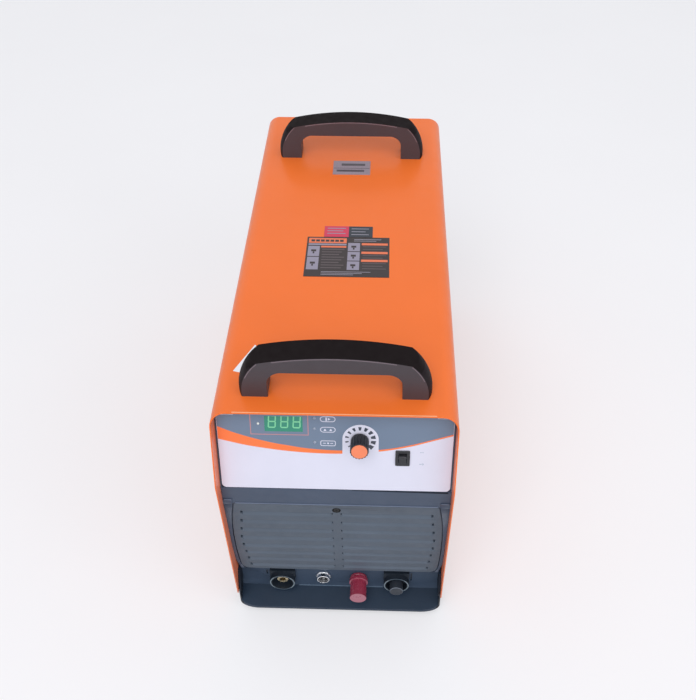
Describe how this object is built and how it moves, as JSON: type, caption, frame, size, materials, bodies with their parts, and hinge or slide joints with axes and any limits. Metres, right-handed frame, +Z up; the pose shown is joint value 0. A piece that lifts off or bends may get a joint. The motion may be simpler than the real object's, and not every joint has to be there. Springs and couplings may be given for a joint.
{
  "type": "plasma cutter power unit",
  "caption": "Upright sheet-steel inverter power unit for a plasma cutting torch, with two carry handles, a sloping control panel, a louvred front and a rear fan.",
  "frame": {"origin": "on the floor, below the middle of the unit's overall box", "axes": "+Z up, +X to the right of someone facing the front, +Y from the front to the back"},
  "size_m": [0.2948, 0.73, 0.4765],
  "materials": {
    "cover_paint": "powder coat, satin",
    "dark_steel": "powder coat, dark grey",
    "zinc_steel": "zinc plated",
    "rubber_black": "moulded rubber",
    "handle_plastic": "moulded, fine texture",
    "bezel_plastic": "moulded, slate",
    "louvre_plastic": "moulded, mid grey",
    "film_print": "printed polyester film",
    "lens_green": "tinted window",
    "lamp_clear": "clear lamp",
    "black_plastic": "moulded, black",
    "cap_orange": "moulded, orange",
    "contact_brass": "turned brass",
    "nickel": "nickel plated",
    "terminal_red": "moulded, dark red",
    "plug_grey": "soft plug, dark grey",
    "board_green": "coated circuit board",
    "sink_aluminium": "extruded",
    "core_iron": "ferrite core",
    "winding_copper": "lacquered copper winding",
    "module_black": "moulded module",
    "capacitor_sleeve": "sleeved can",
    "hose_blue": "air hose",
    "toggle_red": "moulded, red",
    "label_print": "printed label",
    "plate_silver": "anodised plate"
  },
  "bodies": {
    "case": {"cover": "cover_paint", "rear_panel": "cover_paint", "base_pan": "dark_steel", "rubber_feet": "rubber_black", "foot_screws": "zinc_steel", "cover_screws": "zinc_steel", "carry_handles": "handle_plastic", "handle_plates": "zinc_steel", "handle_screws": "zinc_steel", "front_bezel": "bezel_plastic", "connector_bay": "bezel_plastic", "louvre_panel": "louvre_plastic", "panel_screws": "dark_steel", "connector_plate": "zinc_steel", "control_panel": "louvre_plastic", "panel_film": "film_print", "display_module": "black_plastic", "display_lens": "lens_green", "indicator_lamps": "lamp_clear", "display_board": "board_green", "board_spacers": "contact_brass", "potentiometer": "zinc_steel", "switch_housing": "black_plastic", "torch_socket": "black_plastic", "torch_contact": "contact_brass", "work_socket": "black_plastic", "work_contact": "contact_brass", "control_socket": "nickel", "control_pins": "black_plastic", "pilot_base": "terminal_red", "pilot_stud": "contact_brass", "fan_frame": "black_plastic", "fan_guard": "nickel", "rear_screws": "zinc_steel", "breaker_body": "black_plastic", "cable_gland": "black_plastic", "gland_nut": "black_plastic", "air_inlet": "contact_brass", "earth_stud": "contact_brass", "chassis_shelf": "zinc_steel", "heat_sinks": "sink_aluminium", "power_modules": "module_black", "power_board": "board_green", "capacitors": "capacitor_sleeve", "control_board": "board_green", "transformer_core": "core_iron", "transformer_coils": "winding_copper", "output_choke": "winding_copper", "gas_valve": "contact_brass", "air_hose": "hose_blue", "top_labels": "label_print", "rating_plate": "plate_silver"},
    "current_knob": {"current_knob": "black_plastic", "knob_cap": "cap_orange"},
    "switch_rocker": {"switch_rocker": "black_plastic"},
    "socket_plug": {"socket_plug": "plug_grey"},
    "pilot_washer": {"pilot_washer": "nickel"},
    "pilot_knob": {"pilot_knob": "terminal_red"},
    "breaker_toggle": {"breaker_toggle": "toggle_red"},
    "fan_rotor": {"fan_rotor": "black_plastic"}
  },
  "joints": [
    {"name": "current_knob_turn", "type": "hinge", "parent": "case", "child": "current_knob", "pos_m": [0.0295, -0.32863, 0.36039], "axis": [0, -0.974, 0.2267], "range_deg": [-150, 150]},
    {"name": "switch_rocker_tip", "type": "hinge", "parent": "case", "child": "switch_rocker", "pos_m": [0.0811, -0.33504, 0.3355], "axis": [1, 0, 0], "range_deg": [-18, 0]},
    {"name": "socket_plug_pull", "type": "slide", "parent": "case", "child": "socket_plug", "axis": [0, -1, 0], "range_m": [0, 0.045]},
    {"name": "pilot_washer_slide", "type": "slide", "parent": "case", "child": "pilot_washer", "axis": [0, -1, 0], "range_m": [0, 0.00375]},
    {"name": "pilot_knob_turn", "type": "hinge", "parent": "pilot_washer", "child": "pilot_knob", "pos_m": [0.027, -0.3405, 0.05], "axis": [0, -1, 0], "range_deg": [0, 1080]},
    {"name": "breaker_toggle_tip", "type": "hinge", "parent": "case", "child": "breaker_toggle", "pos_m": [-0.084, 0.328, 0.12], "axis": [1, 0, 0], "range_deg": [0, 50]},
    {"name": "fan_spin", "type": "hinge", "parent": "case", "child": "fan_rotor", "pos_m": [0, 0.2995, 0.28], "axis": [0, 1, 0], "continuous": true}
  ],
  "couplings": [
    {"joint": "pilot_knob_turn", "follows": "pilot_washer_slide", "rad_per_m": 5026.5}
  ]
}
